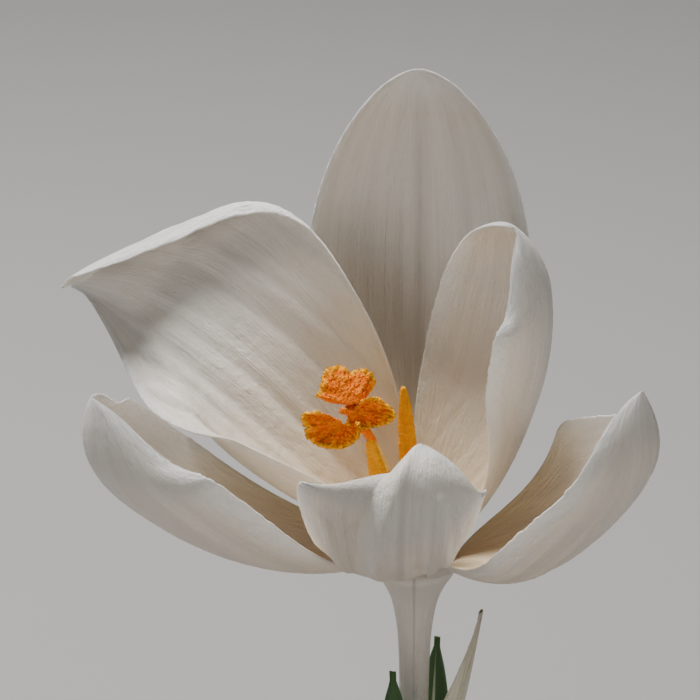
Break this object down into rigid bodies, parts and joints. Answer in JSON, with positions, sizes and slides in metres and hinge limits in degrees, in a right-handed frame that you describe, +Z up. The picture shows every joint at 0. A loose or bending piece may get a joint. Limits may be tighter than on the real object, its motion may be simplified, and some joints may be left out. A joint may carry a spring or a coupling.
{
  "type": "potted crocus",
  "caption": "White large-flowered crocus, wide open, with sheath, bract and young leaves, growing from a corm in the soil of a round clay flowerpot.",
  "frame": {"origin": "centre of the pot's underside", "axes": "+Z up the plant's axis, -Y the side the flower is seen from, +X to that viewer's right"},
  "size_m": [0.084, 0.084, 0.1637],
  "materials": {
    "clay": "unglazed fired clay, matte, with pale mineral bloom",
    "soil": "damp potting soil, crumbly, matte",
    "corm": "fibrous brown tunic",
    "paper": "thin papery sheath, translucent",
    "petal": "white petal, satin, finely veined",
    "filament": "smooth cream filament",
    "anther": "yellow pollen, powdery",
    "stigma": "orange, velvety, with a granular edge",
    "leaf": "dark green blade, satin, with a pale line along its middle"
  },
  "bodies": {
    "root": {"pot": "clay", "soil": "soil", "corm": "corm", "sheath": "paper", "bract": "paper", "flower_tube": "petal", "tepal_back": "petal", "tepal_left_front": "petal", "tepal_right_front": "petal", "tepal_front": "petal", "tepal_right_back": "petal", "tepal_left_back": "petal", "filament_1": "filament", "filament_2": "filament", "filament_3": "filament", "anther_1": "anther", "anther_2": "anther", "anther_3": "anther", "stigma": "stigma", "leaf_1": "leaf", "leaf_2": "leaf", "leaf_3": "leaf", "leaf_4": "leaf", "leaf_5": "leaf", "leaf_6": "leaf"}
  },
  "joints": []
}
